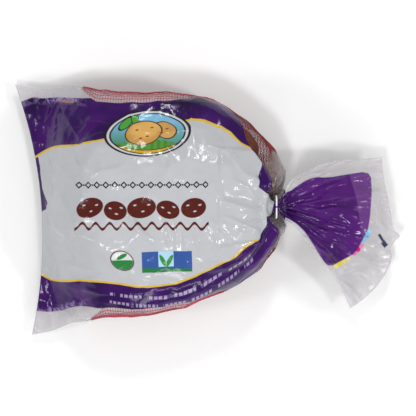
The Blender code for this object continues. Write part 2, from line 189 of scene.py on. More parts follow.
def smooth_curve(knots, at):
    """A smooth curve through knots of (place, value), which never swings past a knot."""
    x = np.array([knot[0] for knot in knots], float)
    y = np.array([knot[1] for knot in knots], float)
    step = np.diff(x)
    rise = np.diff(y) / step
    slope = np.zeros(len(x))
    same_way = rise[:-1] * rise[1:] > 0
    weight_a = 2 * step[1:] + step[:-1]
    weight_b = step[1:] + 2 * step[:-1]
    safe = np.where(same_way, rise[:-1] * rise[1:], 1.0)
    mean = safe * (weight_a + weight_b) / (weight_a * rise[1:] + weight_b * rise[:-1] + (~same_way))
    slope[1:-1] = np.where(same_way, mean, 0.0)
    slope[0] = rise[0]
    slope[-1] = rise[-1]
    at = np.clip(at, x[0], x[-1])
    i = np.clip(np.searchsorted(x, at, side="right") - 1, 0, len(step) - 1)
    t = (at - x[i]) / step[i]
    return (
        y[i] * (1 + 2 * t) * (1 - t) ** 2
        + slope[i] * step[i] * t * (1 - t) ** 2
        + y[i + 1] * t**2 * (3 - 2 * t)
        + slope[i + 1] * step[i] * t**2 * (t - 1)
    )


def column_of(table, column, station):
    """A smooth curve through one column of a table, whose first column holds the stations."""
    return smooth_curve([(row[0], row[column]) for row in table], station)


def plan_edges(station):
    """The +Y edge, the middle line and the -Y edge at these stations, seen from above, in metres."""
    edges = []
    for column in (1, 2, 3):
        axes = []
        for axis, body_unit, tail_unit in (
            (0, BODY_LENGTH, TAIL_LENGTH),
            (1, SEAM_WIDTH / 2, TAIL_SPREAD / 2),
        ):
            body = smooth_curve([(row[0], row[column][axis]) for row in BODY_PLAN], station)
            tail = smooth_curve([(row[0], row[column][axis]) for row in TAIL_PLAN], station)
            axes.append(np.where(station < 1.0, body * body_unit, tail * tail_unit))
        edges.append(np.stack(axes, axis=-1))
    return edges


def loop_points(station, angle):
    """Points of the skin at these stations and angles, from the middle of the clip."""
    cosine = np.cos(angle)
    sine = np.sin(angle)
    plus, middle, minus = plan_edges(station)
    across = cosine[..., None]
    plan = middle + across * (plus - minus) / 2 + across**2 * ((plus + minus) / 2 - middle)
    edge = column_of(HEIGHTS, 1, station) * BODY_HEIGHT
    crown = column_of(HEIGHTS, 2, station) * BODY_HEIGHT + LAYER_GAP / 2
    belly = column_of(HEIGHTS, 3, station) * BODY_HEIGHT + LAYER_GAP / 2
    fill = np.abs(sine) ** smooth_curve(FULLNESS, station)
    edge = edge * (1 - smooth_curve(EAR_DROOP, station) * cosine**2)
    height = edge + np.where(sine >= 0, crown, -belly) * fill
    below = np.clip(-sine, 0, 1)
    x = plan[..., 0] + smooth_curve(SHOULDER, station) * BODY_LENGTH * below
    x += smooth_curve(MOUTH_SWING, station) * TAIL_LENGTH * cosine * sine**2
    return np.stack([x, plan[..., 1], np.maximum(height, 0.0)], axis=-1)


def normals_of(grid):
    """Unit normals of a grid of points, outwards where the columns run from +Y over the top to -Y."""
    along = np.gradient(grid, axis=0)
    round_it = np.gradient(grid, axis=1)
    normal = np.cross(round_it, along)
    size = np.linalg.norm(normal, axis=-1, keepdims=True)
    return normal / np.maximum(size, 1e-12)


# Noise.


def lattice(i, j, k, seed):
    """A repeatable number from -1 to 1 for each point of a lattice."""
    h = (i * 374761393 + j * 668265263 + k * 2147483647 + seed * 1274126177) & 0xFFFFFFFF
    h = ((h ^ (h >> 13)) * 1274126177) & 0xFFFFFFFF
    h = ((h ^ (h >> 16)) * 2246822519) & 0xFFFFFFFF
    return ((h ^ (h >> 15)) & 0xFFFF) / 32767.5 - 1.0


def noise3(points, seed=0):
    """Smooth value noise, from -1 to 1, at an array of points whose last axis holds x, y and z."""
    base = np.floor(points).astype(np.int64)
    part = points - base
    part = part**3 * (part * (part * 6 - 15) + 10)
    total = np.zeros(points.shape[:-1])
    for di in (0, 1):
        for dj in (0, 1):
            for dk in (0, 1):
                corner = lattice(base[..., 0] + di, base[..., 1] + dj, base[..., 2] + dk, seed)
                weight = (
                    (part[..., 0] if di else 1 - part[..., 0])
                    * (part[..., 1] if dj else 1 - part[..., 1])
                    * (part[..., 2] if dk else 1 - part[..., 2])
                )
                total += corner * weight
    return total


def billow(points, seed, octaves=3):
    """Noise in several sizes, from about -1 to 1."""
    total = np.zeros(points.shape[:-1])
    for octave in range(octaves):
        total += noise3(points * 2.03**octave, seed + octave) * 0.5**octave
    return total / 1.6


def ridges(points, seed, octaves=2):
    """Noise with sharp crests, from 0 to 1, as in creased film."""
    total = np.zeros(points.shape[:-1])
    for octave in range(octaves):
        total += (1 - np.abs(noise3(points * 2.1**octave, seed + octave))) ** 3 * 0.5**octave
    return total / (2 - 0.5 ** (octaves - 1))


def facets(u, v, seed, lean=0.45):
    """Flat-sided crinkles in cells of about 1: hollow facets that meet along sharp crests, up to 1 high."""
    column, row = np.floor(u).astype(np.int64), np.floor(v).astype(np.int64)
    best = np.full(u.shape, -1e9)
    for di in range(-2, 3):
        for dj in range(-2, 3):
            i, j = column + di, row + dj
            du = u - (i + 0.5 + 0.45 * lattice(i, j, 0, seed))
            dv = v - (j + 0.5 + 0.45 * lattice(i, j, 1, seed))
            tilt = lattice(i, j, 2, seed) * du + lattice(i, j, 3, seed) * dv
            best = np.maximum(best, lean * tilt - du * du - dv * dv)
    return -2.0 * best


def ramp(value, low, high):
    """From 0 at low to 1 at high, with a soft start and end."""
    t = np.clip((value - low) / (high - low), 0, 1)
    return t * t * (3 - 2 * t)


# Folds.

# Creases in the printed front: start, end, half width and height (all in mm from the clip).
# A crease is a ridge, sharp along its crest, which dies away at both ends.
CREASES = (
    ((-245, 58), (-196, 8), 4.0, 2.4), ((-238, 28), (-205, -42), 4.0, 2.6),
    ((-246, 12), (-222, -40), 3.0, 2.4), ((-240, -18), (-172, -44), 4.5, 2.0),
    ((-232, -60), (-170, -72), 4.5, 2.0), ((-250, 80), (-226, 120), 3.5, 2.2),
    ((-226, 66), (-196, 34), 3.0, 1.8), ((-196, 34), (-160, 44), 3.0, 1.6),
    ((-165, -2), (-132, -36), 1.8, 2.4), ((-158, 6), (-146, -24), 1.6, 1.8),
    ((-150, -20), (-128, -44), 1.5, 2.0), ((-120, 0), (-112, -46), 1.6, 2.2),
    ((-112, -8), (-114, -42), 1.4, 1.9), ((-104, -6), (-104, -50), 1.4, 1.8),
    ((-98, -6), (-94, -46), 1.6, 2.0), ((-88, -18), (-78, -56), 1.8, 2.2),
    ((-76, -14), (-60, -54), 1.8, 2.2), ((-70, -8), (-44, -44), 1.8, 2.0),
    ((-128, 84), (-104, 48), 1.6, 2.0), ((-118, 92), (-92, 60), 1.5, 1.8),
    ((-92, 106), (-84, 66), 1.6, 2.0), ((-60, 96), (-50, 40), 3.5, 2.0),
    ((-96, -62), (-30, -48), 2.8, 2.6), ((-60, -58), (-14, -34), 2.0, 2.2),
    ((-40, -22), (-16, -12), 1.8, 2.0), ((-52, 52), (-12, 24), 2.4, 2.4),
    ((-46, 30), (-12, 8), 2.4, 2.4), ((-66, 8), (-20, -2), 2.8, 2.2),
    ((-70, 66), (-30, 44), 2.4, 2.0), ((-58, -10), (-12, -26), 2.2, 2.2),
    ((-150, -78), (-96, -84), 2.5, 1.6), ((-216, 96), (-176, 88), 3.0, 1.8),
    ((-190, 110), (-140, 96), 2.5, 1.6), ((-228, 104), (-206, 70), 3.0, 2.2),
    ((-212, -90), (-160, -96), 2.6, 2.0),
)
# The same for the spread end.
TAIL_CREASES = (
    ((4, 3), (92, -24), 1.6, 2.8), ((14, 3), (84, -10), 1.5, 2.0),
    ((6, -4), (62, -60), 2.6, 4.0), ((8, -7), (46, -60), 2.2, 3.4),
    ((2, 8), (58, 26), 2.6, 3.0), ((4, 12), (96, 38), 3.0, 3.0),
    ((16, 2), (98, 12), 2.0, 2.2), ((30, -18), (98, -36), 1.8, 2.4),
    ((20, -10), (80, -50), 1.8, 2.4), ((36, 40), (112, 54), 2.2, 2.4),
    ((20, 28), (70, 46), 1.8, 2.4), ((98, 30), (118, -34), 2.0, 2.4),
    ((58, -74), (106, -62), 2.2, 2.6), ((92, -70), (120, -30), 2.0, 2.2),
    ((60, -64), (82, -96), 2.0, 2.4),
)


def at_level(x, y, size, level):
    """Places for noise: plan places in cells of that size, at one level of the noise."""
    return np.stack([x / size, y / size, np.full_like(x, level)], axis=-1)


def fan_places(points):
    """Plan places in mm from the clip, and their reach and turn about it."""
    x, y = points[..., 0] / MM, points[..., 1] / MM
    return x, y, np.hypot(x, y), np.arctan2(y, np.maximum(x, 0.5))


def crease_height(x, y, table):
    """The creases' height in metres at plan places in millimetres."""
    total = np.zeros_like(x)
    wander = 2.2 * noise3(at_level(x, y, 17, 3.7), 5)
    for (ax, ay), (bx, by), half, height in table:
        length = math.hypot(bx - ax, by - ay)
        ux, uy = (bx - ax) / length, (by - ay) / length
        along = (x - ax) * ux + (y - ay) * uy
        off = (x - ax) * uy - (y - ay) * ux + wander
        fade = ramp(along, -0.15 * length, 0.35 * length)
        fade *= ramp(-along, -1.15 * length, -0.65 * length)
        total += height * fade * np.exp(-np.abs(off) / half)
    return total * MM


def panel_ledge(x, y):
    """The pale panel's end, which lies folded a little over the film by the neck, in metres."""
    edge = signed(x, y, NECK_FOLD)
    return 2.4 * MM * ramp(edge, -1.0, 1.2) * np.exp(-np.maximum(edge, 0) / 14)


def neck_folds(points, front):
    """The gathers that run into the clip from both sides, in metres, at points from the clip."""
    x, y, z = (points[..., k] / MM for k in range(3))
    rise = z - CLIP_HEIGHT_MM
    reach = np.sqrt(x**2 + y**2 + rise**2)
    turn = np.arctan2(y, np.abs(x) + 6 + 0.35 * np.abs(rise))
    turn = turn + 0.20 * noise3(np.stack([x / 22, y / 22, z / 22], axis=-1), 21)
    many = np.cos(turn * 22 + 2.0 * noise3(np.stack([reach / 30, turn * 2, z / 40], axis=-1), 22))
    few = np.cos(turn * 10 + 1.3)
    sharp = 1 - np.abs(many)
    close = np.exp(-((reach / 34) ** 1.3)) * ramp(reach, 5, 20)
    wide = np.exp(-((reach / 70) ** 2)) * ramp(reach, 10, 40)
    fine = 0.5 if front else 2.6
    return ((sharp * 2.0 - 0.8) * fine * close + few * 2.0 * wide) * MM


def tail_waves(points):
    """The spread end's pleats, fanning out from the clip, as a height in metres."""
    x, y, reach, turn = fan_places(points)
    turn = turn + 0.10 * noise3(at_level(x, y, 34, 9.1), 31)
    fan = np.cos(turn * 11 + 0.6) * np.exp(-reach / 32) * ramp(reach, 4, 16) * 2.6
    broad = np.cos(turn * 7.5 - 1.1) * ramp(reach, 20, 70) * 2.6
    crest = ridges(np.stack([turn * 5.2, reach / 62, np.full_like(x, 2.2)], axis=-1), 33) * 2.8
    crest = crest * ramp(reach, 16, 45)
    pleat = facets(turn * 4.5, reach / 48 + turn, 34) * 4.2 * ramp(reach, 12, 50)
    crinkle = facets(turn * 8 + x / 40, reach / 26, 35) * 1.3
    curl = 3.5 * np.sin(turn * 3.4 + 0.4) * ramp(reach, 70, 130)
    return (fan + broad + crest + pleat + crinkle * ramp(reach, 25, 60) + curl - 2.0) * MM


def back_pleats(points):
    """The deep pleats that take up the width of the back layer's spread end, in metres."""
    x, y, reach, turn = fan_places(points)
    turn = turn + 0.03 * noise3(at_level(x, y, 30, 4.4), 37)
    deep = 0.050 * reach * (0.9 + 0.1 * np.cos(turn * 5))
    return deep * (1 + np.cos(turn * 40)) * MM


def base_waves(points):
    """The ripples of the flat base seam and its ears, as a height in metres."""
    x, y = points[..., 0] / MM, points[..., 1] / MM
    crinkle = facets(x / 10 + y / 40, y / 17, 45)
    return (2.4 * billow(at_level(x, y, 26, 6.4), 41) + 1.6 * crinkle) * MM


# The finished potatoes, which the film lies on.
load_tree = None


def gap_to_load(points):
    """How far each point is from the nearest potato, in metres, and negative inside one."""
    flat = to_model(points).reshape(-1, 3)
    gaps = np.empty(len(flat))
    for i, point in enumerate(flat):
        near, way, _, far = load_tree.find_nearest(point)
        gaps[i] = far if way.dot(Vector(point) - near) >= 0 else -far
    return gaps.reshape(points.shape[:-1])


def make_load_tree(potatoes):
    """A search tree of all the potatoes' faces."""
    verts, faces = [], []
    for potato in potatoes:
        first = len(verts)
        verts.extend(v.co for v in potato.data.vertices)
        faces.extend([first + k for k in p.vertices] for p in potato.data.polygons)
    return BVHTree.FromPolygons(verts, faces)


# The skin in fine detail.


def even_stations(first, last, step):
    """Stations from first to last about a step apart along the skin."""
    fine = np.linspace(first, last, 600)
    lines = [loop_points(fine, np.full_like(fine, math.radians(a))) for a in (30, 90, 150)]
    lengths = [np.linalg.norm(np.diff(line, axis=0), axis=1) for line in lines]
    along = np.concatenate([[0], np.cumsum(np.mean(lengths, axis=0))])
    count = max(2, round(along[-1] / step)) + 1
    return np.interp(np.linspace(0, along[-1], count), along, fine)


def seam_angle(station, column):
    """Where the front film meets the back: column 1 of the table is the +Y side and 2 the -Y side."""
    return np.radians(column_of(SEAM_ANGLES, column, station))


def angle_grid(station, share, front):
    """The angles of a panel's points: the front, with its hem, or the back."""
    plus_seam, minus_seam = seam_angle(station, 1), seam_angle(station, 2)
    if front:
        under = np.radians(smooth_curve(HEM, station))
        start = plus_seam - under * (plus_seam > 0)
        end = math.pi - minus_seam + under * (minus_seam > 0)
    else:
        start, end = math.pi - minus_seam, 2 * math.pi + plus_seam
    return start[:, None] + (end - start)[:, None] * share


def mouth_shape(points, station):
    """The uneven cut of the mouth: a small tongue and a nick in the clear edge."""
    y = points[..., 1] / MM
    bump = 6.5 * np.exp(-(((y + 31) / 4.5) ** 2)) - 3.0 * np.exp(-(((y + 45) / 5.0) ** 2))
    points[..., 0] += bump * MM * ramp(station, 1.9, 2.0)
    return points


def film_grid(first, last, share, front, step, depth=0.0):
    """The fine skin between two stations, its normals, stations and angles, before it is folded."""
    station = even_stations(first, last, step)
    angle = angle_grid(station, share, front)
    grid = np.broadcast_to(station[:, None], angle.shape)
    base = mouth_shape(loop_points(grid, angle), grid)
    normal = normals_of(base)
    radial = np.stack([np.zeros_like(angle), np.cos(angle), np.sin(angle)], axis=-1)
    extra = smooth_curve(NECK_THICKENS, grid) * (NECK_WALL - FILM_WALL - GATHER_SPARE)
    base = base + normal * (FILM_ABOVE - depth) + radial * extra[..., None]
    return base, normal, grid, angle


def film_folds(mm, across):
    """Broad and small folds of the film, in mm."""
    wander = 5 * noise3(mm / 30, 91)
    folds = billow(mm / 46, 1) * 1.2
    folds += facets((mm[..., 0] + wander) / 30, (across - wander) / 21, 7) * 1.5 - 0.7
    return folds + facets((mm[..., 0] - across * 0.5) / 13, (across + wander) / 16, 8) * 0.35


def fold_film(base, normal, grid, angle, front, keep=FILM_OFF_LOAD):
    """The skin with its folds, kept outside the potatoes by that much."""
    mm = base / MM
    body = ramp(grid, 0.05, 0.2) * ramp(-grid, -0.985, -0.93)
    tail = ramp(grid, 1.02, 1.10)
    ends = ramp(-grid, -0.16, -0.05)
    seam = np.ones_like(grid)
    if front:
        to_seam = np.minimum(angle - seam_angle(grid, 1), math.pi - seam_angle(grid, 2) - angle)
        seam = ramp(-to_seam, -0.16, -0.02)
    along = film_folds(mm, mm[..., 1]) * (1 - seam)
    along += film_folds(mm, (angle + 2 * math.pi * (angle < math.pi / 2)) * 75) * seam
    along *= MM * body
    if front:
        crease = crease_height(mm[..., 0], mm[..., 1], CREASES) * ramp(grid, 0.0, 0.08)
        along += crease * ramp(-grid, -0.99, -0.95) * (1 - seam)
        along += panel_ledge(mm[..., 0], mm[..., 1]) * ramp(-grid, -0.985, -0.95) * (1 - seam)
    gap = gap_to_load(base)
    sides = 1 - ramp(np.abs(np.cos(angle)), 0.80, 0.95)
    plus, minus = (column_of(EDGE_STANDS_OUT, column, grid) for column in (1, 2))
    stand = np.where(np.cos(angle) > 0, plus, minus)
    along += stand * MM * ramp(np.abs(np.cos(angle)), 0.75, 0.96)
    along -= np.minimum(SAG_MOST, SAG_SHARE * np.maximum(0.0, gap - SAG_FROM)) * body * sides
    along += neck_folds(base, front) * (1 - tail) * ramp(grid, 0.6, 0.8)
    along = np.maximum(along, keep - gap)
    rests = ramp(base[..., 2] / MM, 0.5, 9.0)
    out = base + normal * (along * (rests if not front else 1.0))[..., None]
    out[..., 2] += tail_waves(base) * tail + base_waves(base) * ends * ramp(base[..., 2] / MM, 2, 10)
    if front:
        out[..., 2] += crease_height(mm[..., 0], mm[..., 1], TAIL_CREASES) * tail
    else:
        out[..., 2] -= back_pleats(base) * tail
    out[..., 2] = np.maximum(out[..., 2], LOWEST_FILM)
    return out


def to_model(points):
    """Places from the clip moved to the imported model's."""
    return points + np.array([CLIP_X, CLIP_Y, 0.0])


def grid_mesh(name, points, attributes=None):
    """An open sheet from a grid of points, with per-point attributes."""
    rows, columns = points.shape[:2]
    index = np.arange(rows * columns).reshape(rows, columns)
    quads = np.stack([index[:-1, 1:], index[1:, 1:], index[1:, :-1], index[:-1, :-1]], axis=-1)
    return mesh_object(name, to_model(points).reshape(-1, 3), quads.reshape(-1, 4), attributes)


def linked(name, data):
    """A new object in the scene."""
    obj = bpy.data.objects.new(name, data)
    bpy.context.scene.collection.objects.link(obj)
    return obj


def mesh_object(name, points, faces, attributes=None):
    """A mesh from points and faces, with numbers and vectors stored at its points."""
    mesh = bpy.data.meshes.new(name)
    mesh.from_pydata(np.asarray(points).tolist(), [], [list(map(int, face)) for face in faces])
    for key, values in (attributes or {}).items():
        values = np.asarray(values, np.float32)
        if values.ndim > 1 and values.shape[-1] == 3:
            layer = mesh.attributes.new(key, "FLOAT_VECTOR", "POINT")
            layer.data.foreach_set("vector", values.reshape(-1))
        else:
            layer = mesh.attributes.new(key, "FLOAT", "POINT")
            layer.data.foreach_set("value", values.reshape(-1))
    mesh.validate()
    mesh.shade_smooth()
    return linked(name, mesh)


def thicken(obj):
    """A wall behind the sheet's face."""
    solid = obj.modifiers.new("wall", "SOLIDIFY")
    solid.thickness = SHEET_WALL
    solid.offset = -1.0


# The print, as places in mm from the clip.

TOP_BAND_EDGE = ((-271, 112), (-256, 118), (-250, 115), (-233, 116), (-207, 113), (-186, 114), (-170, 111))
TOP_BAND_EDGE += ((-157, 114), (-134, 110), (-119, 111), (-104, 117), (-79, 119), (-61, 115), (-43, 104))
TOP_BAND_EDGE += ((-30, 88), (-16, 72), (0, 52), (10, 34))
TOP_GOLD = ((-256, 53), (-245, 60), (-233, 65), (-207, 67), (-160, 76), (-120, 90), (-80, 94), (-68, 90))
TOP_GOLD += ((-58, 86), (-49, 81), (-42, 76), (-37, 71), (-25, 64))
BOTTOM_GOLD = ((-258, -66), (-246, -74), (-235, -79), (-192, -80), (-165, -84), (-132, -87), (-108, -84))
BOTTOM_GOLD += ((-86, -77), (-61, -62), (-42, -50), (-30, -40), (-18, -34))
BOTTOM_BAND_EDGE = ((-262, -109), (-250, -112), (-229, -111), (-213, -106), (-196, -106), (-187, -107))
BOTTOM_BAND_EDGE += ((-170, -109), (-150, -109), (-121, -106), (-93, -101), (-69, -96), (-50, -95))
BOTTOM_BAND_EDGE += ((-30, -90), (4, -60))
RIGHT_EDGE = ((-25, 64), (-20, 57), (-13, 47), (-15, 39), (-18, 21), (-12, 17), (-4, 10), (-2, 5), (-4, -4))
RIGHT_EDGE += ((-5, -9), (-9, -10), (-9, -21), (-14, -28), (-18, -34))
TAIL_INK = ((-2, 14), (13, 15), (27, 26), (41, 32), (54, 31), (78, 35), (97, 38), (103, 29), (100, -20))
TAIL_INK += ((94, -32), (85, -49), (72, -56), (57, -64), (50, -57), (39, -39), (27, -21), (9, -10), (-2, -6))
NECK_FOLD = ((-60, 62), (-25, 62), (-20, 62), (-13, 47), (-15, 39), (-18, 21), (-12, 17), (-4, 10), (-2, 5))
NECK_FOLD += ((-4, -4), (-5, -9), (-9, -10), (-9, -21), (-14, -28), (-17, -34), (-60, -40))
DOUBLE_EDGE = ((76, 60), (78, 35), (86, 8), (92, -30), (96, -60))


def sides_of(points, closed):
    """The start and end of each side of a line or an outline."""
    return zip(points, points[1:] + points[:1] if closed else points[1:])


def polyline_distance(x, y, points, closed=False):
    """The distance in mm from plan places to a line through the points."""
    best = np.full_like(x, 1e9)
    for (ax, ay), (bx, by) in sides_of(points, closed):
        dx, dy = bx - ax, by - ay
        t = np.clip(((x - ax) * dx + (y - ay) * dy) / (dx * dx + dy * dy), 0, 1)
        best = np.minimum(best, np.hypot(x - ax - t * dx, y - ay - t * dy))
    return best


def rounded(points, closed=False, times=2):
    """The line with its corners cut, which rounds it."""
    for _ in range(times):
        new = [] if closed else [points[0]]
        for (ax, ay), (bx, by) in sides_of(points, closed):
            new.append((0.75 * ax + 0.25 * bx, 0.75 * ay + 0.25 * by))
            new.append((0.25 * ax + 0.75 * bx, 0.25 * ay + 0.75 * by))
        if not closed:
            new.append(points[-1])
        points = tuple(new)
    return points


def inside(x, y, points):
    """Whether plan places lie inside a closed outline."""
    result = np.zeros(x.shape, bool)
    for (ax, ay), (bx, by) in sides_of(points, True):
        crosses = (ay > y) != (by > y)
        at = ax + (y - ay) * (bx - ax) / np.where(by == ay, 1e-9, by - ay)
        result ^= crosses & (x < at)
    return result


def signed(x, y, points):
    """The distance inside a closed outline, negative outside."""
    distance = polyline_distance(x, y, points, closed=True)
    return np.where(inside(x, y, points), distance, -distance)


def print_fields(points):
    """The fields that the front film's print is drawn from, in mm."""
    x, y, reach, turn = fan_places(points)
    top, bottom = rounded(TOP_GOLD), rounded(BOTTOM_GOLD)
    left = ((-290, -66), (-290, 53))
    white = signed(x, y, top + RIGHT_EDGE[1:-1] + tuple(reversed(bottom)) + left)
    outer = rounded(TOP_BAND_EDGE) + ((10, 12), (10, -12)) + tuple(reversed(rounded(BOTTOM_BAND_EDGE)))
    body_ink = signed(x, y, outer + ((-290, -109), (-290, 109)))
    tail_ink = signed(x, y, rounded(TAIL_INK, closed=True, times=1))
    neck = 9.0 - np.hypot(x / 1.2, y - 4)
    double = polyline_distance(x, y, DOUBLE_EDGE)
    side = inside(x, y, DOUBLE_EDGE + ((0, -60), (0, 60)))
    return {
        "white": white,
        "ink": np.maximum(np.maximum(body_ink, tail_ink), neck),
        "gold_top": polyline_distance(x, y, top),
        "gold_bottom": polyline_distance(x, y, bottom),
        "single": np.where(side, -double, double),
        "in_tail": np.where(x > 2, 1.0, 0.0),
        "reach": reach,
        "turn": turn,
    }


# Shader nodes.


class Nodes:
    """A small helper to write a node tree as sums."""

    def __init__(self, name):
        self.material = bpy.data.materials.new(name)
        self.material.use_nodes = True
        self.tree = self.material.node_tree
        self.shader = self.tree.nodes["Principled BSDF"]

    def node(self, kind, **settings):
        made = self.tree.nodes.new(kind)
        for key, value in settings.items():
            setattr(made, key, value)
        return made

    def put(self, socket, value):
        if isinstance(value, bpy.types.NodeSocket):
            self.tree.links.new(value, socket)
        else:
            socket.default_value = value

    def math(self, operation, a, b=0.0, c=0.0):
        made = self.node("ShaderNodeMath", operation=operation)
        for socket, value in zip(made.inputs, (a, b, c)):
            self.put(socket, value)
        return made.outputs[0]

    add = partialmethod(math, "ADD")
    sub = partialmethod(math, "SUBTRACT")
    mul = partialmethod(math, "MULTIPLY")
    both = partialmethod(math, "MINIMUM")
    either = partialmethod(math, "MAXIMUM")
    absolute = partialmethod(math, "ABSOLUTE")

    def attribute(self, name, output="Fac"):
        return self.node("ShaderNodeAttribute", attribute_name=name).outputs[output]

    def split(self, vector):
        made = self.node("ShaderNodeSeparateXYZ")
        self.put(made.inputs[0], vector)
        return made.outputs

    def join(self, x, y, z=0.0):
        made = self.node("ShaderNodeCombineXYZ")
        for socket, value in zip(made.inputs, (x, y, z)):
            self.put(socket, value)
        return made.outputs[0]

    def mix(self, factor, a, b):
        made = self.node("ShaderNodeMix", data_type="RGBA")
        self.put(made.inputs[0], factor)
        self.put(made.inputs[6], a)
        self.put(made.inputs[7], b)
        return made.outputs[2]

    def blend(self, factor, a, b):
        made = self.node("ShaderNodeMix", data_type="FLOAT")
        self.put(made.inputs[0], factor)
        self.put(made.inputs[2], a)
        self.put(made.inputs[3], b)
        return made.outputs[0]

    def soft(self, distance, width=0.5):
        """1 where the distance is positive, 0 where it is negative, with an edge of that width."""
        return self.spread(distance, -width / 2, width / 2)

    def spread(self, value, low, high, to_low=0.0, to_high=1.0):
        """The value's range from low to high laid over another, and held within it."""
        made = self.node("ShaderNodeMapRange", clamp=True)
        for socket, setting in zip(made.inputs, (value, low, high, to_low, to_high)):
            self.put(socket, setting)
        return made.outputs[0]

    def noise(self, vector, scale, detail=2.0, roughness=0.5, distortion=0.0, output="Fac"):
        made = self.node("ShaderNodeTexNoise")
        self.put(made.inputs["Vector"], vector)
        made.inputs["Scale"].default_value = scale
        made.inputs["Detail"].default_value = detail
        made.inputs["Roughness"].default_value = roughness
        made.inputs["Distortion"].default_value = distortion
        return made.outputs[output]

    def voronoi(self, vector, scale):
        made = self.node("ShaderNodeTexVoronoi")
        self.put(made.inputs["Vector"], vector)
        made.inputs["Scale"].default_value = scale
        return made.outputs["Distance"]

    def bump(self, height, distance, strength=1.0, normal=None):
        made = self.node("ShaderNodeBump")
        made.inputs["Distance"].default_value = distance
        made.inputs["Strength"].default_value = strength
        self.put(made.inputs["Height"], height)
        if normal is not None:
            self.put(made.inputs["Normal"], normal)
        return made.outputs[0]

    def place(self):
        """The point in the model's own frame, which moves with it."""
        return self.node("ShaderNodeTexCoord").outputs["Object"]

    def turned(self, x, y, middle, turn, along_unit=1.0, across_unit=1.0):
        """Places measured from a middle, along and across a way that is turned by so many degrees."""
        c, s = math.cos(math.radians(turn)), math.sin(math.radians(turn))
        dx, dy = self.sub(x, middle[0]), self.sub(y, middle[1])
        along = self.add(self.mul(dx, c / along_unit), self.mul(dy, s / along_unit))
        across = self.add(self.mul(dx, -s / across_unit), self.mul(dy, c / across_unit))
        return along, across

    def ellipse(self, x, y, middle, half, turn=0.0):
        """The distance inside an ellipse, about right near its edge, in mm."""
        along, across = self.turned(x, y, middle, turn, *half)
        size = self.math("SQRT", self.add(self.mul(along, along), self.mul(across, across)))
        return self.mul(self.sub(1.0, size), min(half))

    def block(self, x, y, middle, half, turn=0.0):
        """The distance inside an oblong, in mm."""
        along, across = self.turned(x, y, middle, turn)
        inside_along = self.sub(half[0], self.absolute(along))
        return self.both(inside_along, self.sub(half[1], self.absolute(across)))

    def paint(self, colour, distance, tone, width=0.5):
        """The colour with a tone over it where the distance is positive."""
        return self.mix(self.soft(distance, width), colour, tone)

    def finish(self, colour, roughness, normal):
        """The finished material, from its colour, its roughness and its bumps."""
        self.put(self.shader.inputs["Base Color"], colour)
        self.put(self.shader.inputs["Roughness"], roughness)
        self.put(self.shader.inputs["Normal"], normal)
        return self.material


def srgb(r, g, b, a=1.0):
    """A colour in 0 to 255, as shown on a screen, for a shader."""
    out = [((v / 255 + 0.055) / 1.055) ** 2.4 if v > 10.3 else v / 255 / 12.92 for v in (r, g, b)]
    return (*out, a)


# Materials.
PRINT_IOR = 1.34
CLEAR_IOR = 1.5
PURPLE = srgb(47, 6, 82)
PURPLE_LIGHT = srgb(68, 16, 102)
PURPLE_DEEP = srgb(28, 4, 54)
WHITE_INK = srgb(190, 193, 196)
GOLD = srgb(196, 158, 34)
BROWN = srgb(82, 26, 18)
BLACK = srgb(26, 22, 26)


def film_bump(n, place, strength=1.0):
    """Fine crinkles of thin film, with sharp crests."""
    stray = n.node("ShaderNodeVectorMath", operation="SCALE")
    n.put(stray.inputs[0], n.noise(place, 40, 1.0, output="Color"))
    stray.inputs["Scale"].default_value = 0.02
    moved = n.node("ShaderNodeVectorMath", operation="ADD")
    n.put(moved.inputs[0], place)
    n.put(moved.inputs[1], stray.outputs[0])
    large = n.voronoi(moved.outputs[0], 75)
    small = n.voronoi(moved.outputs[0], 190)
    fine = n.noise(place, 420, 2, 0.5, 0.5)
    first = n.bump(large, 0.0007 * strength, 1.0)
    second = n.bump(small, 0.00010 * strength, 1.0, first)
    return n.bump(fine, 0.00010 * strength, 0.8, second)


